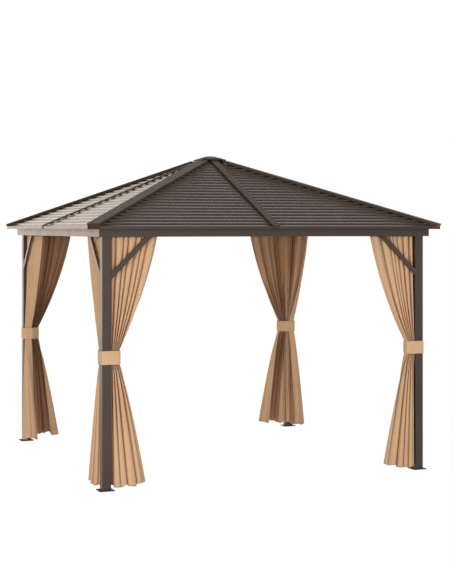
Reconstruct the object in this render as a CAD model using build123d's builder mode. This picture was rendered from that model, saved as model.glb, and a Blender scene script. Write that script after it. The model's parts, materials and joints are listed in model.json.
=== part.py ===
"""Square metal gazebo with a stepped sheet roof, a vented peak and tied-back curtains.

Millimetres, +Z up, the ground at Z = 0, the front towards -Y. Front pieces are drawn
first and turned in quarters round the middle of the plan.
"""

import os
from math import cos, radians, sin, sqrt, tan

from build123d import *

os.makedirs("parts", exist_ok=True)

# Clearances
seat_gap = 0.3  # between pieces that rest on each other on a slope
mitre_gap = 0.3  # between the mitred ends of neighbouring pieces
cloth_gap = 0.6  # between soft goods and what they hang beside

# Plan
roof_span = 3000.0  # eave to eave, both ways
eave_overhang = 95.0  # beyond the outer face of the beam

# Posts and their foot plates
post_size = 70.0
post_wall = 2.0
post_corner_radius = 4.0
foot_size = 120.0
foot_thickness = 5.0
foot_bolt_pitch = 94.0
foot_bolt_hole = 11.0
foot_corner_radius = 6.0

# Beams: channels open below, over the tops of the posts
beam_underside = 1920.0  # height above the ground
beam_height = 58.0
beam_overhang = 35.0  # beyond the outer face of the post
beam_inner_lap = 5.0  # beyond the inner face of the post
beam_wall = 2.0

# Corner braces
brace_leg = 325.0  # from the post's face to the far side of the brace
brace_width = 38.0
brace_thickness = 14.0

# Eave trim
eave_lip_thickness = 2.5
eave_flange_thickness = 2.0
eave_flange_lap = 70.0  # how far the flange lies over the beam
eave_band = 23.0  # underside of the flange to the top of the first slat

# Roof sheets
roof_pitch = 22.2  # degrees
slat_count = 23
slat_riser = 10.0
sheet_thickness = 2.0
roof_opening = 224.0  # square hole at the peak
joint_gap = 20.0  # between two sheets, under a strip or a cap

# Caps and strips over the joints
hip_cap_width = 106.0
hip_cap_lift = 8.0  # top of the cap over the line where two roof faces meet
hip_cap_setback = 42.0  # from the eave corner to the end of the cap
hip_cap_undercut = 26.0  # how far the end leans in below
cap_thickness = 2.0
strip_width = 60.0
strip_lift = 10.0

# Rafters
rafter_width = 40.0
rafter_height = 42.0
rafter_wall = 2.0

# Peak
hub_size = 200.0
hub_corner_cut = 36.0
hub_wall = 4.0
hub_drop = 14.0  # hub below the undersides of the rafters
vent_cap_size = 230.0
vent_cap_top = 66.0
vent_cap_rim = 6.0
vent_cap_pitch = 21.0  # degrees
vent_height = 17.0  # open height between hub and cap rim
vent_frame_size = 190.0
vent_leg = 24.0
vent_ring = 4.0

# Curtain rails, inside the beams
rail_width = 24.0
rail_height = 22.0
rail_offset = 10.0  # rail centre inwards of the middle of the posts
rail_wall = 2.0
rail_slot = 8.0
rail_web = 3.0
rail_lift = 4.0  # rail underside above the beam's underside

# Curtains, by distances from the middle of the post
hem_height = 20.0
front_panel_reach = 421.0  # inner edge at the rail, along the front or back
side_panel_reach = 520.0  # the same along a side
panel_half_depth = 26.0
panel_corner_cut = 0.6  # of half the depth, off the corners of a panel's outline
panel_bow = 0.45  # how far the inner edge bows out between the tie and the rail
hem_along = 180.0  # middle of the hem along the panel's own side
hem_half_length = 134.0
hem_spread = 0.75  # below 1, the cloth spreads faster just under the tie
front_hem_out = 15.0  # middle of the hem outwards of the posts' middle line
front_hem_half_depth = 115.0
side_hem_out = 0.0
side_hem_half_depth = 82.0
front_bunch = 70.0  # gathered cloth beside the post, at the tie
side_bunch = 50.0
bunch_half_depth = 31.0
tie_height = 1005.0  # middle of the tie
tie_width = 108.0
tie_thickness = 4.0
tie_corner_radius = 12.0

# What follows from these
half_roof = roof_span / 2
beam_outer = half_roof - eave_overhang
post_outer = beam_outer - beam_overhang
post_inner = post_outer - post_size
half_post = post_size / 2
post_centre = post_outer - half_post
beam_inner = post_inner - beam_inner_lap
beam_top = beam_underside + beam_height
beam_ceiling = beam_top - beam_wall
slope = tan(radians(roof_pitch))
hip_slope = slope / sqrt(2)
eave_top = beam_top + eave_band
half_opening = roof_opening / 2
slat_run = (half_roof - half_opening) / slat_count
slat_rise = slat_run * slope
tread_rise = slat_rise - slat_riser
tread_length = sqrt(slat_run**2 + tread_rise**2)
sheet_drop = sheet_thickness * tread_length / slat_run
sheet_shift = sheet_thickness * tread_rise / slat_run
eave_corner = half_roof * sqrt(2)  # distance of the eave corner from the middle
half_hip_cap = hip_cap_width / 2
# deepest point of a sheet below the roof plane
sheet_depth = slat_riser + sheet_drop - sheet_shift + sheet_thickness * slope


def plane_height(distance):
    """Height of the roof plane at a distance from the middle, square to an eave."""
    return eave_top + (half_roof - distance) * slope


def hip_height(distance):
    """Height of the line where two roof faces meet, at a distance along the diagonal."""
    return eave_top + (eave_corner - distance) * hip_slope


def diagonal(along, across):
    """Plan point beside the front right diagonal, on the front's side of it."""
    return ((along - across) / sqrt(2), -(along + across) / sqrt(2))


def mirrored(points):
    """The same plan points on the other side of the middle, in reverse order."""
    return [(-x, y) for x, y in reversed(points)]


SIDES = {"front": 0, "right": 1, "back": 2, "left": 3}
HIPS = {"front_right": 0, "back_right": 1, "back_left": 2, "front_left": 3}
CORNERS = {
    "front_left": (-1, -1),
    "front_right": (1, -1),
    "back_left": (-1, 1),
    "back_right": (1, 1),
}


def save(part, name):
    """Name a node and write its file."""
    part.label = name
    export_step(part, f"parts/{name}.step")


def save_turned(part, stem, places):
    """Write copies of a piece, turned in quarters round the middle."""
    for place, turns in places.items():
        with BuildPart() as copy:
            add(part.rotate(Axis.Z, 90 * turns))
        save(copy.part, f"{stem}_{place}")


# Posts: square tubes with eased corners, up inside the beams
with BuildPart() as post:
    with BuildSketch(Plane.XY.offset(foot_thickness)):
        RectangleRounded(post_size, post_size, post_corner_radius)
        RectangleRounded(
            post_size - 2 * post_wall,
            post_size - 2 * post_wall,
            post_corner_radius - post_wall,
            mode=Mode.SUBTRACT,
        )
    extrude(amount=beam_ceiling - foot_thickness)

# Foot plates with four bolt holes
with BuildPart() as foot:
    with BuildSketch(Plane.XY):
        RectangleRounded(foot_size, foot_size, foot_corner_radius)
        with GridLocations(foot_bolt_pitch, foot_bolt_pitch, 2, 2):
            Circle(foot_bolt_hole / 2, mode=Mode.SUBTRACT)
    extrude(amount=foot_thickness)

for corner, (sign_x, sign_y) in CORNERS.items():
    place = Location((sign_x * post_centre, sign_y * post_centre, 0))
    with BuildPart() as post_copy:
        add(post.part.moved(place))
    save(post_copy.part, f"post_{corner}")
    with BuildPart() as foot_copy:
        add(foot.part.moved(place))
    save(foot_copy.part, f"foot_plate_{corner}")

# Beams: channels open below, mitred where they meet over the posts
beam_depth = beam_outer - beam_inner
beam_middle = (beam_outer + beam_inner) / 2
with BuildPart() as beam_front:
    with BuildSketch(Plane.YZ):
        with Locations((-beam_middle, beam_underside + beam_height / 2)):
            Rectangle(beam_depth, beam_height)
        with Locations((-beam_middle, beam_ceiling - beam_height / 2)):
            Rectangle(beam_depth - 2 * beam_wall, beam_height, mode=Mode.SUBTRACT)
    extrude(amount=beam_outer, both=True)
    mitre = mitre_gap / sqrt(2)
    with BuildSketch(Plane.XY.offset(beam_underside)):
        Polygon(
            (-beam_outer + mitre, -beam_outer),
            (beam_outer - mitre, -beam_outer),
            (beam_inner - mitre, -beam_inner),
            (-beam_inner + mitre, -beam_inner),
            align=None,
        )
    extrude(amount=beam_height, mode=Mode.INTERSECT)
save_turned(beam_front.part, "beam", SIDES)

# Corner braces: flat bars at 45 degrees, flush with the outer faces of the posts and
# run up inside the beams
brace_cut = brace_width * sqrt(2)
brace_tail = beam_ceiling - beam_underside
with BuildPart() as brace_pair:
    with BuildSketch(Plane.XZ.offset(post_outer - brace_thickness)):
        right_brace = [
            (post_inner, beam_underside - brace_leg),
            (post_inner, beam_underside - brace_leg + brace_cut),
            (post_inner - brace_leg + brace_cut - brace_tail, beam_ceiling),
            (post_inner - brace_leg - brace_tail, beam_ceiling),
        ]
        Polygon(*right_brace, align=None)
        Polygon(*mirrored(right_brace), align=None)
    extrude(amount=brace_thickness)
save_turned(brace_pair.part, "braces", SIDES)

# Eave trims: an upright lip with a flange that lies on the beam
lip_top = eave_top - sheet_drop - seat_gap
flange_inner = beam_outer - eave_flange_lap
trim_end = (half_hip_cap + seat_gap) * sqrt(2)
with BuildPart() as eave_front:
    with BuildSketch(Plane.YZ):
        Polygon(
            (-half_roof, beam_top),
            (-flange_inner, beam_top),
            (-flange_inner, beam_top + eave_flange_thickness),
            (-half_roof + eave_lip_thickness, beam_top + eave_flange_thickness),
            (-half_roof + eave_lip_thickness, lip_top),
            (-half_roof, lip_top),
            align=None,
        )
    extrude(amount=half_roof, both=True)
    with BuildSketch(Plane.XY.offset(beam_top)):
        Polygon(
            (-half_roof + trim_end, -half_roof),
            (half_roof - trim_end, -half_roof),
            (flange_inner - trim_end, -flange_inner),
            (-flange_inner + trim_end, -flange_inner),
            align=None,
        )
    extrude(amount=eave_band, mode=Mode.INTERSECT)
save_turned(eave_front.part, "eave_trim", SIDES)

# Roof sheets: stepped slats from the eave to the opening, two sheets to a face.
# Each sheet ends under the strip in the middle and under the cap along the hip.
outer_line = []
inner_line = []
for row in range(slat_count):
    run = row * slat_run
    top = eave_top + row * slat_rise
    if row == 0:
        outer_line.append((run, top))
        inner_line.append((run, top - sheet_drop))
    else:
        outer_line.append((run, top - slat_riser))
        outer_line.append((run, top))
        inner_line.append(
            (run + sheet_thickness, top - slat_riser + sheet_shift - sheet_drop)
        )
        inner_line.append((run + sheet_thickness, top + sheet_shift - sheet_drop))
last_run = slat_count * slat_run
last_top = eave_top + slat_count * slat_rise - slat_riser
outer_line.append((last_run, last_top))
inner_line.append((last_run, last_top - sheet_drop))
sheet_outline = [
    (run - half_roof, height) for run, height in outer_line + inner_line[::-1]
]

boot_start = beam_outer * sqrt(2) + mitre_gap  # where the cap's end piece begins
right_sheet = [
    (joint_gap / 2, -half_roof),
    diagonal(eave_corner - half_hip_cap - seat_gap, half_hip_cap + seat_gap),
    diagonal(boot_start - seat_gap, half_hip_cap + seat_gap),
    diagonal(boot_start - seat_gap, joint_gap / 2),
    diagonal(half_opening * sqrt(2) - joint_gap / 2, joint_gap / 2),
    (joint_gap / 2, -half_opening),
]
with BuildPart() as roof_front:
    with BuildSketch(Plane.YZ):
        Polygon(*sheet_outline, align=None)
    extrude(amount=half_roof, both=True)
    with BuildSketch(Plane.XY.offset(beam_top)):
        Polygon(*right_sheet, align=None)
        Polygon(*mirrored(right_sheet), align=None)
    extrude(amount=half_roof, mode=Mode.INTERSECT)
save_turned(roof_front.part, "roof", SIDES)

# Hip caps: flat-topped channels down each hip, closed at the eave by a leaning end
cap_start = half_opening * sqrt(2) + seat_gap
cap_end = eave_corner - hip_cap_setback
cap_skirt = hip_cap_lift + (half_hip_cap - cap_thickness) * hip_slope - seat_gap


def cap_top(distance):
    """Height of the top of a hip cap at a distance along the diagonal."""
    return hip_height(distance) + hip_cap_lift


cap_outside = [
    (cap_start, cap_top(cap_start)),
    (cap_end, cap_top(cap_end)),
    (cap_end - hip_cap_undercut, beam_top),
    (boot_start, beam_top),
    (boot_start, cap_top(boot_start) - cap_skirt),
    (cap_start, cap_top(cap_start) - cap_skirt),
]
cap_lean = (cap_top(cap_end) - beam_top) / hip_cap_undercut
end_wall = cap_thickness * sqrt(1 + 1 / cap_lean**2)
cavity_end = cap_end - end_wall
cavity_top_end = cap_top(cap_end) - cap_thickness
cap_inside = [
    (cap_start - 1, cap_top(cap_start - 1) - cap_thickness),
    (cavity_end - cap_thickness / cap_lean, cavity_top_end),
    (cavity_end - hip_cap_undercut + cap_thickness / cap_lean, beam_top + cap_thickness),
    (boot_start - 1, beam_top + cap_thickness),
    (boot_start - 1, cap_top(boot_start) - 2 * cap_skirt),
    (cap_start - 1, cap_top(cap_start) - 2 * cap_skirt),
]
with BuildPart() as hip_cap:
    with BuildSketch(Plane.XZ):
        Polygon(*cap_outside, align=None)
    extrude(amount=half_hip_cap, both=True)
    with BuildSketch(Plane.XZ):
        Polygon(*cap_inside, align=None)
    extrude(amount=half_hip_cap - cap_thickness, both=True, mode=Mode.SUBTRACT)
save_turned(hip_cap.part.rotate(Axis.Z, -45), "hip_cap", HIPS)

# Strips over the joint in the middle of each face, bent down over the eave
strip_out = half_roof + seat_gap


def strip_top(distance):
    """Height of the top of a middle strip at a distance from the middle."""
    return plane_height(distance) + strip_lift


strip_outside = [
    (-strip_out - cap_thickness, beam_top),
    (-strip_out, beam_top),
    (-strip_out, plane_height(strip_out) + seat_gap),
    (-half_opening, plane_height(half_opening) + seat_gap),
    (-half_opening, strip_top(half_opening)),
    (-strip_out - cap_thickness, strip_top(strip_out + cap_thickness)),
]
strip_inside = [
    (-strip_out, plane_height(strip_out)),
    (-half_opening, plane_height(half_opening)),
    (-half_opening, strip_top(half_opening) - cap_thickness),
    (-strip_out, strip_top(strip_out) - cap_thickness),
]
with BuildPart() as strip_front:
    with BuildSketch(Plane.YZ):
        Polygon(*strip_outside, align=None)
    extrude(amount=strip_width / 2, both=True)
    with BuildSketch(Plane.YZ):
        Polygon(*strip_inside, align=None)
    extrude(amount=strip_width / 2 - cap_thickness, both=True, mode=Mode.SUBTRACT)
with BuildPart() as roof_strips:
    for turns in SIDES.values():
        add(strip_front.part.rotate(Axis.Z, 90 * turns))
save(roof_strips.part, "roof_strips")

# Hip rafters: box sections under the hips, their heels on the beams' corners
hip_rafter_drop = sheet_depth + rafter_width / 2 * hip_slope + seat_gap
hip_rafter_depth = rafter_height * sqrt(1 + hip_slope**2)
hip_heel_out = beam_outer * sqrt(2) - hub_wall
hip_heel_in = beam_inner * sqrt(2)
hub_corner = (hub_size - hub_corner_cut) / sqrt(2)


def hip_rafter_top(distance):
    """Height of the top of a hip rafter at a distance along the diagonal."""
    return hip_height(distance) - hip_rafter_drop


hip_rafter_side = [
    (hub_corner, hip_rafter_top(hub_corner)),
    (hip_heel_out, hip_rafter_top(hip_heel_out)),
    (hip_heel_out, beam_top),
    (hip_heel_in, beam_top),
    (hip_heel_in, hip_rafter_top(hip_heel_in) - hip_rafter_depth),
    (hub_corner, hip_rafter_top(hub_corner) - hip_rafter_depth),
]
hip_rafter_core = [
    (hub_corner, hip_rafter_top(hub_corner) - rafter_wall),
    (hip_heel_in, hip_rafter_top(hip_heel_in) - rafter_wall),
    (hip_heel_in, hip_rafter_top(hip_heel_in) - hip_rafter_depth + rafter_wall),
    (hub_corner, hip_rafter_top(hub_corner) - hip_rafter_depth + rafter_wall),
]
with BuildPart() as hip_rafter:
    with BuildSketch(Plane.XZ):
        Polygon(*hip_rafter_side, align=None)
    extrude(amount=rafter_width / 2, both=True)
    with BuildSketch(Plane.XZ):
        Polygon(*hip_rafter_core, align=None)
    extrude(amount=rafter_width / 2 - rafter_wall, both=True, mode=Mode.SUBTRACT)
save_turned(hip_rafter.part.rotate(Axis.Z, -45), "hip_rafter", HIPS)

# Middle rafters: the same section from the middle of each beam up to the hub
mid_rafter_drop = sheet_depth + seat_gap
mid_rafter_depth = rafter_height * sqrt(1 + slope**2)
half_hub = hub_size / 2
heel_seat = beam_top + eave_flange_thickness


def mid_rafter_top(distance):
    """Height of the top of a middle rafter at a distance from the middle."""
    return plane_height(distance) - mid_rafter_drop


mid_rafter_side = [
    (-beam_outer, heel_seat),
    (-flange_inner, heel_seat),
    (-flange_inner, mid_rafter_top(flange_inner) - mid_rafter_depth),
    (-half_hub, mid_rafter_top(half_hub) - mid_rafter_depth),
    (-half_hub, mid_rafter_top(half_hub)),
    (-beam_outer, mid_rafter_top(beam_outer)),
]
mid_rafter_core = [
    (-flange_inner, mid_rafter_top(flange_inner) - mid_rafter_depth + rafter_wall),
    (-half_hub, mid_rafter_top(half_hub) - mid_rafter_depth + rafter_wall),
    (-half_hub, mid_rafter_top(half_hub) - rafter_wall),
    (-flange_inner, mid_rafter_top(flange_inner) - rafter_wall),
]
with BuildPart() as mid_rafter:
    with BuildSketch(Plane.YZ):
        Polygon(*mid_rafter_side, align=None)
    extrude(amount=rafter_width / 2, both=True)
    with BuildSketch(Plane.YZ):
        Polygon(*mid_rafter_core, align=None)
    extrude(amount=rafter_width / 2 - rafter_wall, both=True, mode=Mode.SUBTRACT)
save_turned(mid_rafter.part, "mid_rafter", SIDES)

# Hub that the rafters meet, its corners cut back for the hip rafters
hub_top = hip_rafter_top(hub_corner)
hub_bottom = mid_rafter_top(half_hub) - mid_rafter_depth - hub_drop
with BuildPart() as crown_hub:
    with BuildSketch(Plane.XY.offset(hub_bottom)):
        Rectangle(hub_size, hub_size)
        chamfer(vertices(), length=hub_corner_cut)
        offset(amount=-hub_wall, mode=Mode.SUBTRACT)
    extrude(amount=hub_top - hub_bottom)
save(crown_hub.part, "crown_hub")

# Vent cap: a low shell with a flat top and a short rim
half_vent_cap = vent_cap_size / 2
vent_slope = tan(radians(vent_cap_pitch))
cap_underside = hub_top + vent_height
cap_rim_top = cap_underside + vent_cap_rim
cap_rise = (half_vent_cap - vent_cap_top / 2) * vent_slope
half_inside = half_vent_cap - cap_thickness
inside_rim_top = cap_rim_top - cap_thickness * (sqrt(1 + vent_slope**2) - vent_slope)
inside_top = cap_rim_top + cap_rise - cap_thickness
with BuildPart() as vent_cap:
    with BuildSketch(Plane.XY.offset(cap_underside)):
        Rectangle(vent_cap_size, vent_cap_size)
    extrude(amount=vent_cap_rim)
    with BuildSketch(Plane.XY.offset(cap_rim_top)):
        Rectangle(vent_cap_size, vent_cap_size)
    extrude(amount=cap_rise, taper=90 - vent_cap_pitch)
    with BuildSketch(Plane.XY.offset(cap_underside)):
        Rectangle(2 * half_inside, 2 * half_inside)
    extrude(amount=inside_rim_top - cap_underside, mode=Mode.SUBTRACT)
    with BuildSketch(Plane.XY.offset(inside_rim_top)):
        Rectangle(2 * half_inside, 2 * half_inside)
    extrude(amount=inside_top - inside_rim_top, taper=90 - vent_cap_pitch, mode=Mode.SUBTRACT)
save(vent_cap.part, "vent_cap")

# Vent frame: a ring and four corner legs that hold the cap over the opening
half_vent_frame = vent_frame_size / 2
frame_top = inside_rim_top + (half_inside - half_vent_frame) * vent_slope - seat_gap
frame_height = frame_top - hub_top
vent_window = vent_frame_size - 2 * vent_leg
with BuildPart() as vent_frame:
    with BuildSketch(Plane.XY.offset(hub_top)):
        Rectangle(vent_frame_size, vent_frame_size)
        offset(amount=-vent_ring, mode=Mode.SUBTRACT)
    extrude(amount=frame_height)
    with BuildSketch(Plane.XY.offset(hub_top + vent_ring)):
        Rectangle(vent_window, vent_frame_size + 2)
        Rectangle(vent_frame_size + 2, vent_window)
    extrude(amount=frame_height - 2 * vent_ring, mode=Mode.SUBTRACT)
save(vent_frame.part, "vent_frame")

# Curtain rails: tracks with a slot below, hung from the beams by a web
rail_bottom = beam_underside + rail_lift
rail_centre = post_centre - rail_offset
rail_top = rail_bottom + rail_height
with BuildPart() as rail_front:
    with BuildSketch(Plane.YZ):
        with Locations((-rail_centre, rail_bottom + rail_height / 2)):
            Rectangle(rail_width, rail_height)
            Rectangle(
                rail_width - 2 * rail_wall,
                rail_height - 2 * rail_wall,
                mode=Mode.SUBTRACT,
            )
        with Locations((-rail_centre, rail_bottom + rail_wall / 2)):
            Rectangle(rail_slot, 2 * rail_wall, mode=Mode.SUBTRACT)
        with Locations((-rail_centre, (rail_top + beam_ceiling) / 2)):
            Rectangle(rail_web, beam_ceiling - rail_top)
    extrude(amount=post_inner - mitre_gap, both=True)
with BuildPart() as curtain_rails:
    for turns in SIDES.values():
        add(rail_front.part.rotate(Axis.Z, 90 * turns))
save(curtain_rails.part, "curtain_rails")

# Curtains. Each panel is placed by distances from the middle of its post, along the
# side that it hangs on and inwards from it.
tie_bottom = tie_height - tie_width / 2
tie_top = tie_height + tie_width / 2
curtain_top = rail_bottom - seat_gap
bunch_start = half_post + cloth_gap + 1


def between(low, high, share):
    """The value at a share of the way from low to high."""
    return low + (high - low) * share


def panel_levels(reach, bunch, hem_out, hem_half_depth):
    """Outlines up a panel: height, middle along and across, and the two half sizes."""
    half_bunch = bunch / 2
    bunch_middle = bunch_start + half_bunch
    bunch_end = bunch_start + bunch
    levels = []
    for fall in (1.0, 0.7, 0.45, 0.25, 0.1, 0.0):
        spread = fall**hem_spread
        levels.append(
            (
                between(tie_bottom, hem_height, fall),
                between(bunch_middle, hem_along, spread),
                between(0, -hem_out, spread),
                between(half_bunch, hem_half_length, spread),
                between(bunch_half_depth, hem_half_depth, spread),
            )
        )
    for rise in (0.0, 0.35, 0.7, 1.0):
        end = between(bunch_end, reach, rise * (1 + panel_bow * (1 - rise)))
        settled = sqrt(rise)
        levels.append(
            (
                between(tie_top, curtain_top, rise),
                (bunch_start + end) / 2,
                rail_offset * settled,
                (end - bunch_start) / 2,
                between(bunch_half_depth, panel_half_depth, settled),
            )
        )
    return levels


def curtain_panel(levels, along_x, signs):
    """A panel hung from a rail, drawn in at the tie and spread at the hem."""
    sign_x, sign_y = signs
    with BuildPart() as panel:
        for height, along, across, half_length, half_depth in levels:
            cut = panel_corner_cut * half_depth
            quarter = [
                (half_length, half_depth - cut),
                (half_length - cut, half_depth),
            ]
            outline = quarter + [(-x, y) for x, y in quarter[::-1]]
            outline += [(-x, -y) for x, y in outline]
            if not along_x:
                along, across = across, along
                outline = [(y, x) for x, y in outline[::-1]]
            place = (sign_x * (post_centre - along), sign_y * (post_centre - across))
            with BuildSketch(Plane.XY.offset(height)):
                with Locations(place):
                    Polygon(*outline, align=None)
        loft(ruled=True)
    return panel.part


# Ties: a band of cloth round the post and both bunches
tie_inside = half_post + cloth_gap
front_end = bunch_start + front_bunch + cloth_gap
side_end = bunch_start + side_bunch + cloth_gap
with BuildSketch(Plane.XY.offset(tie_bottom)) as tie_hollow:
    Polygon(
        (tie_inside, tie_inside),
        (-front_end, tie_inside),
        (-front_end, -tie_inside),
        (-tie_inside, -side_end),
        (tie_inside, -side_end),
        align=None,
    )
    fillet(vertices().filter_by(lambda v: v.X < 0 or v.Y < 0), radius=tie_corner_radius)
with BuildPart() as tie:
    with BuildSketch(Plane.XY.offset(tie_bottom)):
        offset(tie_hollow.sketch, amount=tie_thickness)
        add(tie_hollow.sketch, mode=Mode.SUBTRACT)
    extrude(amount=tie_width)

front_levels = panel_levels(
    front_panel_reach, front_bunch, front_hem_out, front_hem_half_depth
)
side_levels = panel_levels(side_panel_reach, side_bunch, side_hem_out, side_hem_half_depth)
ties = []
for corner, signs in CORNERS.items():
    with BuildPart() as curtain:
        add(curtain_panel(front_levels, True, signs))
        add(curtain_panel(side_levels, False, signs))
    save(curtain.part, f"curtain_{corner}")
    band = tie.part.moved(Location((post_centre, post_centre, 0)))
    if signs[0] < 0:
        band = band.mirror(Plane.YZ)
    if signs[1] < 0:
        band = band.mirror(Plane.XZ)
    ties.append(band)
with BuildPart() as curtain_ties:
    for band in ties:
        add(band)
save(curtain_ties.part, "curtain_ties")
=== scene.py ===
"""Metal gazebo: finishes, pleated curtains, ties and the vent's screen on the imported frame.

Metres, +Z up, the ground at Z = 0, the front towards -Y.
"""

import json
from math import cos, pi, radians, sin, sqrt

import bpy
import numpy as np
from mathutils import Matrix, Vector


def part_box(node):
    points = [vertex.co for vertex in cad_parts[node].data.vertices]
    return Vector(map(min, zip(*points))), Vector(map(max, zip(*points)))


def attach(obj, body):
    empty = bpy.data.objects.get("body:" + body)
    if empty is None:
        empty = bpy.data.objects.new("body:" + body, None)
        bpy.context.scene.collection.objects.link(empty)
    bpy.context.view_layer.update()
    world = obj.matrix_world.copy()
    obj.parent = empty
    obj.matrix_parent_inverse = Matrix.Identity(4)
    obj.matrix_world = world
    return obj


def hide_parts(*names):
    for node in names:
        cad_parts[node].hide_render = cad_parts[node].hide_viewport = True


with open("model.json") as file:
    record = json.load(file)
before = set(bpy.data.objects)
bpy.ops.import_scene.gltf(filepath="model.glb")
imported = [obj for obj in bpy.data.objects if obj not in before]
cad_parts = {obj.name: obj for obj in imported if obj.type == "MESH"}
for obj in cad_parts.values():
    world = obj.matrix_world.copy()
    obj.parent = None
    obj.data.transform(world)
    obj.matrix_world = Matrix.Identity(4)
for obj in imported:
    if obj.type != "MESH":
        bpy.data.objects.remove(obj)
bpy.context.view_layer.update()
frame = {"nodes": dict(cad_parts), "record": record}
nodes = frame["nodes"]

# Places read from the frame
post_low, post_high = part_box("post_front_left")
POST_CENTRE = -(post_low.x + post_high.x) / 2
HALF_POST = (post_high.x - post_low.x) / 2
rail_low, rail_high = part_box("curtain_rails")
RAIL_BOTTOM = rail_low.z
tie_low, tie_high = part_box("curtain_ties")
TIE_BOTTOM = tie_low.z
TIE_TOP = tie_high.z

CORNERS = {
    "front_left": (-1, -1),
    "front_right": (1, -1),
    "back_left": (-1, 1),
    "back_right": (1, 1),
}
SIDES = ("front", "right", "back", "left")


# Node graph helpers
def new_material(name):
    """A material with a plain shader, and its graph."""
    material = bpy.data.materials.new(name)
    material.use_nodes = True
    graph = material.node_tree
    shader = graph.nodes["Principled BSDF"]
    return material, graph, shader


def add_node(graph, kind, **inputs):
    """A node with some of its sockets set, by name with underscores for spaces."""
    node = graph.nodes.new(kind)
    for key, value in inputs.items():
        node.inputs[key.replace("_", " ")].default_value = value
    return node


def noise(graph, position, scale, detail=3.0, roughness=0.5):
    """Noise in object space."""
    node = add_node(graph, "ShaderNodeTexNoise", Scale=scale, Detail=detail, Roughness=roughness)
    graph.links.new(position, node.inputs["Vector"])
    return node.outputs["Fac"]


def object_position(graph):
    """Object coordinates."""
    return graph.nodes.new("ShaderNodeTexCoord").outputs["Object"]


def maths(graph, operation, *values):
    """A sum on one or two values, each a socket or a number."""
    node = graph.nodes.new("ShaderNodeMath")
    node.operation = operation
    for socket, value in zip(node.inputs, values):
        if isinstance(value, (int, float)):
            socket.default_value = value
        else:
            graph.links.new(value, socket)
    return node.outputs[0]


def ramp(graph, value, low, high, low_at=0.3, high_at=0.7):
    """A two-colour ramp."""
    node = graph.nodes.new("ShaderNodeValToRGB")
    first, last = node.color_ramp.elements
    first.position, last.position = low_at, high_at
    first.color, last.color = (*low, 1), (*high, 1)
    graph.links.new(value, node.inputs["Fac"])
    return node.outputs["Color"]


def spread(graph, value, low, high):
    """A value from 0 to 1 mapped to low to high."""
    node = graph.nodes.new("ShaderNodeMapRange")
    node.inputs["To Min"].default_value = low
    node.inputs["To Max"].default_value = high
    graph.links.new(value, node.inputs["Value"])
    return node.outputs["Result"]


def mixed(graph, factor, first, second, mode="MIX"):
    """Two colours mixed by a factor, each a socket or three numbers."""
    node = graph.nodes.new("ShaderNodeMix")
    node.data_type = "RGBA"
    node.blend_type = mode
    for socket, value in ((node.inputs[0], factor), (node.inputs[6], first), (node.inputs[7], second)):
        if isinstance(value, (int, float)):
            socket.default_value = value
        elif isinstance(value, tuple):
            socket.default_value = (*value, 1)
        else:
            graph.links.new(value, socket)
    return node.outputs[2]


def bump(graph, shader, height, distance, strength=1.0, under=None):
    """A bump from a height, over another if given."""
    node = add_node(graph, "ShaderNodeBump", Strength=strength, Distance=distance)
    graph.links.new(height, node.inputs["Height"])
    if under is not None:
        graph.links.new(under, node.inputs["Normal"])
    graph.links.new(node.outputs["Normal"], shader.inputs["Normal"])
    return node.outputs["Normal"]


# Finishes
BROWN = (0.064, 0.044, 0.032)
ROOF_BROWN = (0.062, 0.039, 0.024)
EAVE_BROWN = (0.026, 0.018, 0.014)
NEAR_BLACK = (0.016, 0.014, 0.013)
CLOTH = (0.80, 0.51, 0.30)
CAP_BROWN = (0.22, 0.175, 0.145)
CAP_BROWN_REACH = 0.08  # from the peak's middle, the vent cap is brown
CAP_BLEND = 0.004
PEEL_SCALE = 900.0  # orange peel of the coating
PEEL_HEIGHT = 0.0002
WARM_GLOSS = (1.0, 0.94, 0.88, 1.0)
THREAD_SCALE = 260.0
THREAD_HEIGHT = 0.0003
CREASE_HEIGHT = 0.003
# Painted shade: in its grooves the cloth's colour is darkened towards this tone by an ambient occlusion
# node
PAINTED_SHADE_REACH = 0.06  # how far the painted shade looks for nearby cloth when it darkens the grooves
PAINTED_SHADE_TONE = (0.60, 0.50, 0.42)
WHITE = (1.0, 1.0, 1.0)


def coated_metal(name, colour, roughness=0.38, specular=0.5, relief=0.35):
    """Powder-coated metal: fine orange peel, faint cloudiness and uneven gloss."""
    material, graph, shader = new_material(name)
    position = object_position(graph)
    cloud = noise(graph, position, 2.6, detail=4.0)
    speckle = noise(graph, position, PEEL_SCALE, detail=2.0)
    darker = tuple(c * 0.9 for c in colour)
    lighter = tuple(c * 1.1 for c in colour)
    tone = ramp(graph, cloud, darker, lighter)
    fine = ramp(graph, speckle, (0.86, 0.86, 0.86), (1.12, 1.12, 1.12), 0.35, 0.65)
    graph.links.new(mixed(graph, 1.0, tone, fine, "MULTIPLY"), shader.inputs["Base Color"])
    gloss = spread(graph, noise(graph, position, 7.0), roughness - 0.05, roughness + 0.06)
    graph.links.new(gloss, shader.inputs["Roughness"])
    bump(graph, shader, speckle, PEEL_HEIGHT, relief)
    shader.inputs["Specular IOR Level"].default_value = specular
    shader.inputs["Specular Tint"].default_value = WARM_GLOSS
    return material


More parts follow.
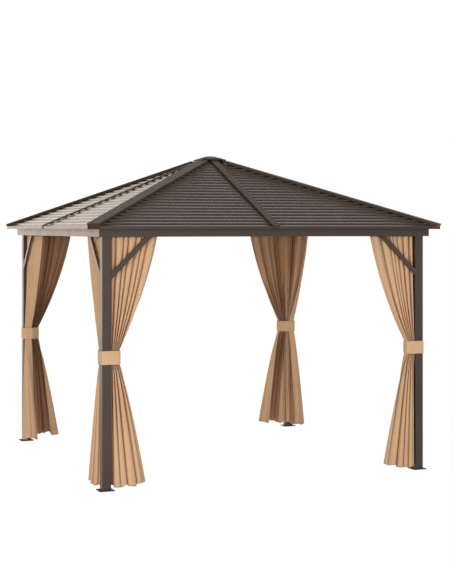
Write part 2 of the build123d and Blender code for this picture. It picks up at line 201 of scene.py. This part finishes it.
def woven_cloth(name, colour):
    """Plain woven cloth: threads along the sheet's own length and width, faint creases,
    sheen and painted shade darkening the grooves between folds."""
    material, graph, shader = new_material(name)
    sheet_place = graph.nodes.new("ShaderNodeUVMap")
    sheet_place.uv_map = "sheet"
    threads = []
    for direction in ("X", "Y"):
        wave = add_node(graph, "ShaderNodeTexWave", Scale=THREAD_SCALE, Distortion=0.4, Detail=1.0)
        wave.bands_direction = direction
        wave.wave_profile = "SIN"
        graph.links.new(sheet_place.outputs["UV"], wave.inputs["Vector"])
        threads.append(wave.outputs["Fac"])
    weave = maths(graph, "MAXIMUM", *threads)
    slub_place = graph.nodes.new("ShaderNodeMapping")
    slub_place.inputs["Scale"].default_value = (8.0, 120.0, 1.0)
    graph.links.new(sheet_place.outputs["UV"], slub_place.inputs["Vector"])
    slub = noise(graph, slub_place.outputs["Vector"], 1.0, detail=2.0)
    position = object_position(graph)
    cloud = noise(graph, position, 3.0, detail=3.0)
    tone = ramp(graph, cloud, tuple(c * 0.95 for c in colour), tuple(c * 1.05 for c in colour))
    fine = ramp(graph, slub, (0.98, 0.98, 0.98), (1.02, 1.02, 1.02), 0.3, 0.7)
    threaded = mixed(graph, 1.0, tone, fine, "MULTIPLY")
    # Painted shade: an ambient occlusion node darkens the cloth's colour in the grooves between folds
    groove_occlusion = add_node(graph, "ShaderNodeAmbientOcclusion", Distance=PAINTED_SHADE_REACH)
    groove_occlusion.samples = 8
    painted_groove_shade = ramp(graph, groove_occlusion.outputs["AO"], PAINTED_SHADE_TONE, WHITE, 0.25, 0.75)
    base = mixed(graph, 1.0, threaded, painted_groove_shade, "MULTIPLY")
    graph.links.new(base, shader.inputs["Base Color"])
    shader.inputs["Roughness"].default_value = 0.82
    shader.inputs["Specular IOR Level"].default_value = 0.25
    shader.inputs["Sheen Weight"].default_value = 0.12
    shader.inputs["Sheen Roughness"].default_value = 0.5
    creases = noise(graph, position, 22.0, detail=4.0, roughness=0.6)
    under = bump(graph, shader, creases, CREASE_HEIGHT, 0.18)
    bump(graph, shader, weave, THREAD_HEIGHT, 0.4, under)
    return material


def cap_metal(name):
    """The vent cap: brown on its flat top, near black on its slopes."""
    material, graph, shader = new_material(name)
    parts = graph.nodes.new("ShaderNodeSeparateXYZ")
    graph.links.new(object_position(graph), parts.inputs["Vector"])
    reaches = [maths(graph, "ABSOLUTE", parts.outputs[axis]) for axis in ("X", "Y")]
    furthest = maths(graph, "MAXIMUM", *reaches)
    edge = CAP_BROWN_REACH + CAP_BLEND
    tone = ramp(graph, furthest, CAP_BROWN, NEAR_BLACK, CAP_BROWN_REACH, edge)
    graph.links.new(tone, shader.inputs["Base Color"])
    shader.inputs["Roughness"].default_value = 0.6
    shader.inputs["Specular IOR Level"].default_value = 0.12
    return material


def set_finish(piece, material):
    """The only material of a CAD piece."""
    piece.data.materials.clear()
    piece.data.materials.append(material)


vent_metal = coated_metal("vent_metal", NEAR_BLACK, roughness=0.6, specular=0.12)
curtain_cloth = woven_cloth("curtain_cloth", CLOTH)
tie_cloth = woven_cloth("tie_cloth", tuple(c * 1.04 for c in CLOTH))
FINISHES = {
    "post_metal": coated_metal("post_metal", BROWN, specular=0.36),
    "beam_metal": coated_metal("beam_metal", BROWN, specular=0.36),
    "roof_metal": coated_metal("roof_metal", ROOF_BROWN, roughness=0.24, specular=0.42, relief=0.12),
    "trim_metal": coated_metal("trim_metal", ROOF_BROWN, roughness=0.5, specular=0.16),
    "rafter_metal": coated_metal("rafter_metal", BROWN),
    "rail_metal": coated_metal("rail_metal", BROWN, roughness=0.45),
    "foot_metal": coated_metal("foot_metal", NEAR_BLACK, roughness=0.5),
    "vent_metal": vent_metal,
    "curtain_cloth": curtain_cloth,
    "tie_cloth": tie_cloth,
}
for subpart in frame["record"]["subparts"]:
    set_finish(nodes[subpart["node"]], FINISHES[subpart["material_slot"]])
eave_metal = coated_metal("eave_metal", EAVE_BROWN)
for side in SIDES:
    set_finish(nodes[f"eave_trim_{side}"], eave_metal)
set_finish(nodes["vent_cap"], cap_metal("vent_cap_metal"))


def new_object(name, mesh, material):
    """An object for a new mesh, with its material, body and slot."""
    mesh.materials.clear()
    mesh.materials.append(material)
    piece = bpy.data.objects.new(name, mesh)
    bpy.context.scene.collection.objects.link(piece)
    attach(piece, "root")
    return piece


def thicken(piece, thickness):
    """A sheet's thickness, half to each side."""
    solid = piece.modifiers.new("thickness", "SOLIDIFY")
    solid.thickness = thickness
    solid.offset = 0


def grid_mesh(name, points, closed=False):
    """A mesh through rows of points, with the sheet's own width and length as UVs."""
    rows, columns = points.shape[:2]
    cells = columns if closed else columns - 1
    vertices = points.reshape(-1, 3)
    faces = []
    for row in range(rows - 1):
        for column in range(cells):
            after = (column + 1) % columns
            low, high = row * columns, (row + 1) * columns
            faces.append((low + column, low + after, high + after, high + column))
    mesh = bpy.data.meshes.new(name)
    mesh.from_pydata(vertices.tolist(), [], faces)
    layer = mesh.uv_layers.new(name="sheet")
    steps = np.linalg.norm(np.diff(points, axis=1, append=points[:, :1]), axis=2).mean(axis=0)
    across = np.concatenate([[0.0], np.cumsum(steps)])
    rise = np.linalg.norm(np.diff(points, axis=0), axis=2).mean(axis=1)
    along = np.concatenate([[0.0], np.cumsum(rise)])
    for face_number in range(len(faces)):
        row, column = divmod(face_number, cells)
        corners = ((column, row), (column + 1, row), (column + 1, row + 1), (column, row + 1))
        for loop, (u, v) in enumerate(corners):
            layer.data[face_number * 4 + loop].uv = (across[u], along[v])
    mesh.polygons.foreach_set("use_smooth", [True] * len(faces))
    mesh.update()
    return mesh


def between(low, high, share):
    """The value at a share of the way from low to high."""
    return low + (high - low) * share


# Curtain panels: one pleated sheet each. Places are distances from the middle of the
# post, along the panel's own side and inwards from it, as for the solids they replace.
BUNCH_START = HALF_POST + 0.0016  # clear of the post
PANEL_TOP = RAIL_BOTTOM - 0.0003
CLOTH_DROP = 0.928  # cloth below the tie
RAIL_INSET = 0.010  # from the post's middle line to the rail's
PANEL_BOW = 0.45  # how far the free edge bows between tie and rail
HEM_SPREAD = 0.75  # below 1, the cloth spreads faster just under the tie
EDGE_CURL = 0.0045  # outer edge turned in towards the post's corner
HEM_START = (0.0465, 0.0435)  # where each hem begins, beside the post
FOLDS = 7
FOLD_WIDTHS = (0.55, 1.35)
FREE_FOLD_WIDTHS = (1.5, 1.9)  # the last fold, at the free edge
FOLD_SIZES = (0.5, 1.0)
FOLD_LEAN = 0.30
HEM_RISE = (-0.002, 0.020)
FOLD_DRIFT = 0.09  # how far folds wander to a side, in folds
BUNCH_DEPTH = 0.0285  # of the folds, to each side, at the tie
RAIL_DEPTH = 0.0236  # and at the rail
BUNCH_ROLL = 0.06
RAIL_ROLL = 0.15
HEM_ROLL = 0.14
HEM_LEAN = 0.8
FOLD_PINCH = 0.22
HEM_PINCH = 0.3
PUCKERS = 17
ROWS = 120
COLUMNS = 172
CLOTH_THICKNESS = 0.0012


def fold_wave(turn, pinch):
    """Broad crests and narrow grooves, from -1 in a groove to 1 on a crest."""
    swing = np.sqrt(np.sin(turn / 2) ** 2 + pinch**2)
    return 2 * (swing - pinch) / (sqrt(1 + pinch**2) - pinch) - 1


def edge_fade(share, steepness):
    """One over most of the width, falling to nothing at both edges."""
    return np.minimum(1, steepness * np.minimum(share, 1 - share))


def straight_folds(place, phase, size, lean, start, stop, depth, roll):
    """Folds along a straight line, their crests outwards and leaning to a side."""
    pitch = (stop - start) / FOLDS
    wave = fold_wave(2 * pi * phase, FOLD_PINCH)
    slide = pitch * (lean * wave - roll * np.sin(2 * pi * phase)) * edge_fade(place, 6)
    along = np.clip(start + place * (stop - start) + slide, start, stop)
    curl = EDGE_CURL * np.exp(-place / 0.02)
    return np.column_stack([along, curl - depth * size * wave])


def hem_folds(place, phase, size, lean, middle, radii, angles, depth):
    """Folds along the curve that the hem spreads to, their crests outwards."""
    share = np.linspace(0, 1, 200)
    angle = np.radians(between(angles[0], angles[1], share))
    arc = np.array(middle) - np.array(radii) * np.column_stack([np.cos(angle), np.sin(angle)])
    lead = between(np.array(HEM_START), arc[0], np.linspace(0, 0.95, 30)[:, None])
    line = np.vstack([lead, arc])
    walked = np.concatenate([[0.0], np.cumsum(np.linalg.norm(np.diff(line, axis=0), axis=1))])
    pitch = walked[-1] / FOLDS
    wave = fold_wave(2 * pi * phase, HEM_PINCH)
    slide = pitch * (HEM_LEAN * lean * wave - HEM_ROLL * np.sin(2 * pi * phase)) * edge_fade(place, 6)
    at = place * walked[-1] + slide
    behind, spot, ahead = [
        np.column_stack([np.interp(at + offset, walked, line[:, axis]) for axis in (0, 1)])
        for offset in (-0.02, 0, 0.02)
    ]
    step = ahead - behind
    step /= np.linalg.norm(step, axis=1)[:, None]
    outwards = np.column_stack([step[:, 1], -step[:, 0]])
    reach = depth * size * wave * np.minimum(1, 0.1 + 5 * place)
    return spot + reach[:, None] * outwards


def curtain_points(reach, bunch, hem, seed):
    """Rows of (along, inwards, height) from hem to top."""
    draw = np.random.default_rng(seed)
    fold_width = draw.uniform(*FOLD_WIDTHS, FOLDS)
    fold_width[-1] = draw.uniform(*FREE_FOLD_WIDTHS)
    fold_edge = np.concatenate([[0.0], np.cumsum(fold_width / fold_width.sum())])
    fold_size = draw.uniform(*FOLD_SIZES, FOLDS + 1)
    fold_lean = draw.uniform(-FOLD_LEAN, FOLD_LEAN, FOLDS + 1)
    hem_rise = draw.uniform(*HEM_RISE, FOLDS * 2 + 1)
    drift = draw.uniform(-1, 1, (2, FOLDS + 1))
    waver = draw.uniform(0, 6, 3)
    knots = np.arange(FOLDS + 1)
    u = np.linspace(0, 1, COLUMNS)
    turns = np.interp(u, fold_edge, knots)
    size = np.interp(turns, knots, fold_size)
    lean = np.interp(turns, knots, fold_lean)
    lift = np.interp(u, np.linspace(0, 1, FOLDS * 2 + 1), hem_rise)
    bunch_end = BUNCH_START + bunch
    tie_place = between(u, turns / FOLDS, 0.75)
    rows = []
    for level in np.linspace(0, 1, ROWS):
        shift = np.interp(turns, knots, drift[0]) * sin(5.3 * level + waver[0])
        shift += 0.6 * np.interp(turns, knots, drift[1]) * sin(11 * level + waver[1])
        phase = turns + FOLD_DRIFT * shift * edge_fade(u, 5)
        gather = straight_folds(
            tie_place, phase, 0.8 + 0.2 * size, 0.5 * lean, BUNCH_START, bunch_end, BUNCH_DEPTH, BUNCH_ROLL
        )
        height = between(TIE_BOTTOM - CLOTH_DROP, PANEL_TOP, level)
        pucker = np.sin(PUCKERS * 2 * pi * u + 9 * level + waver[2]) * edge_fade(u, 8)
        if height >= TIE_TOP:
            rise = (height - TIE_TOP) / (PANEL_TOP - TIE_TOP)
            settled = sqrt(rise)
            stretch = rise * (1 + PANEL_BOW * (1 - rise))
            depth = between(BUNCH_DEPTH, RAIL_DEPTH, settled)
            top = straight_folds(u, phase, size, lean, BUNCH_START, reach, depth, RAIL_ROLL)
            along = between(gather[:, 0], top[:, 0], stretch)
            inwards = between(gather[:, 1], top[:, 1], min(1, 2.2 * rise)) + RAIL_INSET * settled
            inwards = inwards + 0.0016 * pucker * np.exp(-rise / 0.16)
            heights = np.full(COLUMNS, height)
        elif height >= TIE_BOTTOM:
            along, inwards = gather[:, 0], gather[:, 1]
            heights = np.full(COLUMNS, height)
        else:
            fall = (TIE_BOTTOM - height) / CLOTH_DROP
            spread_share = fall**HEM_SPREAD
            middle, radii, angles, depth = hem
            foot = hem_folds(u, phase, size, lean, middle, radii, angles, depth)
            along = between(gather[:, 0], foot[:, 0], spread_share)
            inwards = between(gather[:, 1], foot[:, 1], spread_share)
            inwards = inwards + 0.0022 * pucker * np.exp(-fall / 0.14)
            out = np.hypot(foot[:, 0] - gather[:, 0], foot[:, 1] - gather[:, 1])
            drop = np.sqrt(CLOTH_DROP**2 - out**2)
            heights = TIE_BOTTOM - fall * drop + lift * fall**3
        rows.append(np.column_stack([along, inwards, heights]))
    return np.array(rows)


def to_world(points, along_x, signs):
    """Panel places in the frame of the whole gazebo."""
    along, inwards, height = points[..., 0], points[..., 1], points[..., 2]
    if not along_x:
        along, inwards = inwards, along
    x = signs[0] * (POST_CENTRE - along)
    y = signs[1] * (POST_CENTRE - inwards)
    return np.stack([x, y, height], axis=-1)


# How far panels reach along the rail and at the tie, from the post's middle and face
FRONT_REACH = 0.421
SIDE_REACH = 0.520
FRONT_BUNCH = 0.070
SIDE_BUNCH = 0.050
# Middle, radii, angles and fold depth of the arc that each hem spreads to
FRONT_HEM = ((0.178, -0.015), (0.110, 0.086), (20.0, 238.0), 0.028)
SIDE_HEM = ((0.178, 0.0), (0.110, 0.060), (20.0, 232.0), 0.023)
for number, (corner, signs) in enumerate(CORNERS.items()):
    panels = (
        ("front_panel" if signs[1] < 0 else "back_panel", FRONT_REACH, FRONT_BUNCH, FRONT_HEM, True),
        ("side_panel", SIDE_REACH, SIDE_BUNCH, SIDE_HEM, False),
    )
    for order, (kind, reach, bunch, hem, along_x) in enumerate(panels):
        seed = 10 * number + order + 1
        points = to_world(curtain_points(reach, bunch, hem, seed), along_x, signs)
        name = f"curtain_{corner}_{kind}"
        panel = new_object(name, grid_mesh(name, points), curtain_cloth)
        thicken(panel, CLOTH_THICKNESS)
        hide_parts(f"curtain_{corner}")

# Ties: a band of cloth round each post and its two bunches
TIE_RADIUS = 0.016
TIE_EDGE_RADIUS = 0.003  # at the post's outer corner
TIE_SWELL = 0.0008
TIE_GAP = 0.0026
TIE_INSET = 0.002  # from the top and foot of the band's solid
TIE_SAG = 0.002
TIE_THICKNESS = 0.0025
TIE_STEP = 0.006
for number, (corner, signs) in enumerate(CORNERS.items()):
    draw = np.random.default_rng(90 + number)
    inside = HALF_POST + TIE_GAP
    front_end = BUNCH_START + FRONT_BUNCH + TIE_GAP
    side_end = BUNCH_START + SIDE_BUNCH + TIE_GAP
    outline = [
        (-inside, -inside, TIE_EDGE_RADIUS),
        (front_end, -inside, TIE_RADIUS),
        (front_end, inside, TIE_RADIUS),
        (inside, side_end, TIE_RADIUS),
        (-inside, side_end, TIE_RADIUS),
    ]
    loop = []
    count = len(outline)
    for index, (a, c, radius) in enumerate(outline):
        here = np.array([a, c])
        before = np.array(outline[index - 1][:2])
        after = np.array(outline[(index + 1) % count][:2])
        to_before = (before - here) / np.linalg.norm(before - here)
        to_after = (after - here) / np.linalg.norm(after - here)
        half_angle = np.arccos(np.clip(to_before @ to_after, -1, 1)) / 2
        tangent_length = radius / np.tan(half_angle)
        halfway = to_before + to_after
        middle = here + halfway / np.linalg.norm(halfway) * radius / np.sin(half_angle)
        start = here + to_before * tangent_length - middle
        stop = here + to_after * tangent_length - middle
        for share in np.linspace(0, 1, 9):
            spoke = start * (1 - share) + stop * share
            loop.append(middle + spoke / np.linalg.norm(spoke) * radius)
    loop = np.array(loop)
    dense = []
    for index in range(len(loop)):
        here, after = loop[index], loop[(index + 1) % len(loop)]
        steps = max(1, int(np.linalg.norm(after - here) / TIE_STEP))
        for step in range(steps):
            dense.append(here + (after - here) * step / steps)
    dense = np.array(dense)
    ring_angle = np.linspace(0, 2 * pi, len(dense), endpoint=False)
    rows = []
    for share in np.linspace(0, 1, 25):
        height = between(TIE_BOTTOM + TIE_INSET, TIE_TOP - TIE_INSET, share)
        belly = TIE_SWELL * sin(pi * share)
        scale = 1 + belly / 0.06
        sag = TIE_SAG * np.sin(2 * ring_angle + number) * (1 - 2 * abs(share - 0.5))
        rows.append(np.column_stack([dense * scale, height + sag]))
    points = to_world(np.array(rows), True, signs)
    name = f"tie_{corner}"
    band = new_object(name, grid_mesh(name, points, closed=True), tie_cloth)
    thicken(band, TIE_THICKNESS)
    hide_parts("curtain_ties")


# A dark screen inside the vent frame
frame_low, frame_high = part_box("vent_frame")
SCREEN_REACH = -frame_low.x - 0.0052
SCREEN_CORNER = 0.006
SCREEN_THICKNESS = 0.0008
ring = []
for quarter in range(4):
    for share in np.linspace(0, 1, 7):
        angle = pi / 2 * (quarter + share)
        heading = pi / 4 + pi / 2 * quarter
        middle = np.sign([cos(heading), sin(heading)]) * (SCREEN_REACH - SCREEN_CORNER)
        ring.append(middle + SCREEN_CORNER * np.array([cos(angle), sin(angle)]))
ring = np.array(ring)
levels = np.linspace(frame_low.z + 0.001, frame_high.z - 0.002, 4)
screen_rows = np.array([np.column_stack([ring, np.full(len(ring), level)]) for level in levels])
screen_mesh = grid_mesh("vent_screen", screen_rows, closed=True)
screen = new_object("vent_screen", screen_mesh, vent_metal)
thicken(screen, SCREEN_THICKNESS)


# Floor, light and camera
def shown_background(graph, light_path):
    """1 for rays that see the background: straight, in metal or through glass."""
    seen = light_path.outputs["Is Camera Ray"]
    for ray in ("Is Glossy Ray", "Is Transmission Ray"):
        seen = maths(graph, "MAXIMUM", seen, light_path.outputs[ray])
    return seen


FLOOR_REACH = 60.0
FLOOR_GLOW = 1.1
FLOOR_GLOW_SHARE = 0.88  # the rest keeps the object's shadow
floor_mesh = bpy.data.meshes.new("floor")
floor_corners = [(FLOOR_REACH * a, FLOOR_REACH * b, 0) for a, b in ((-1, -1), (1, -1), (1, 1), (-1, 1))]
floor_mesh.from_pydata(floor_corners, [], [(0, 1, 2, 3)])
floor = bpy.data.objects.new("floor", floor_mesh)
floor.location.z = -0.0005
bpy.context.scene.collection.objects.link(floor)
floor_paint, graph, shader = new_material("floor_paint")
shader.inputs["Base Color"].default_value = (0.9, 0.9, 0.9, 1)
shader.inputs["Roughness"].default_value = 0.9
shader.inputs["Specular IOR Level"].default_value = 0.1
floor_mesh.materials.append(floor_paint)
glow = add_node(graph, "ShaderNodeEmission", Color=(1, 1, 1, 1), Strength=FLOOR_GLOW)
blend = graph.nodes.new("ShaderNodeMixShader")
path = graph.nodes.new("ShaderNodeLightPath")
output = graph.nodes["Material Output"]
glow_share = maths(graph, "MULTIPLY", shown_background(graph, path), FLOOR_GLOW_SHARE)
graph.links.new(glow_share, blend.inputs["Fac"])
graph.links.new(shader.outputs[0], blend.inputs[1])
graph.links.new(glow.outputs[0], blend.inputs[2])
graph.links.new(blend.outputs[0], output.inputs["Surface"])

world = bpy.data.worlds.new("studio")
bpy.context.scene.world = world
world.use_nodes = True
sky = world.node_tree
background = sky.nodes["Background"]
place = sky.nodes.new("ShaderNodeTexCoord")
parts = sky.nodes.new("ShaderNodeSeparateXYZ")
sky.links.new(place.outputs["Generated"], parts.inputs["Vector"])
plain = ramp(sky, parts.outputs["Z"], (0.38, 0.38, 0.38), (0.26, 0.26, 0.26), 0.1, 0.9)
world_path = sky.nodes.new("ShaderNodeLightPath")
colour = mixed(sky, shown_background(sky, world_path), plain, WHITE)
sky.links.new(colour, background.inputs["Color"])
background.inputs["Strength"].default_value = 1.0


def softbox(name, location, target, size, power, tint=(1, 1, 1)):
    """A rectangular lamp that looks at a target."""
    data = bpy.data.lights.new(name, "AREA")
    data.shape = "RECTANGLE"
    data.size, data.size_y = size
    data.energy = power
    data.color = tint
    lamp = bpy.data.objects.new(name, data)
    lamp.location = location
    aim = Vector(target) - Vector(location)
    lamp.rotation_euler = aim.to_track_quat("-Z", "Y").to_euler()
    bpy.context.scene.collection.objects.link(lamp)


MIDDLE = (0, 0, 1.2)
softbox("key_box", (-13.0, -12.0, 3.2), MIDDLE, (5.0, 5.0), 660, (1.0, 0.98, 0.95))
softbox("rim_box", (-5.0, 9.5, 2.4), (-1.0, 0, 1.6), (5.0, 5.0), 205, (1.0, 0.76, 0.58))
softbox("front_box", (-3.0, -16.0, 2.2), MIDDLE, (5.0, 4.0), 640)

# Camera: placed by the posts, feet and eaves of the photograph
PHOTO_LONG_SIDE = 584
FOCAL_PIXELS = 1391.0
HORIZON_ROW = 227.6
CAMERA_PLACE = (-4.258, -11.497, 1.990)
CAMERA_YAW = 21.0
SENSOR_WIDTH = 36.0
camera_data = bpy.data.cameras.new("camera")
camera_data.sensor_width = SENSOR_WIDTH
camera_data.lens = SENSOR_WIDTH * FOCAL_PIXELS / PHOTO_LONG_SIDE
camera_data.shift_y = (HORIZON_ROW - PHOTO_LONG_SIDE / 2) / PHOTO_LONG_SIDE
camera = bpy.data.objects.new("camera", camera_data)
camera.location = CAMERA_PLACE
camera.rotation_euler = (radians(90), 0, radians(-CAMERA_YAW))
bpy.context.scene.collection.objects.link(camera)
bpy.context.scene.camera = camera
bpy.context.scene.view_settings.view_transform = "Standard"
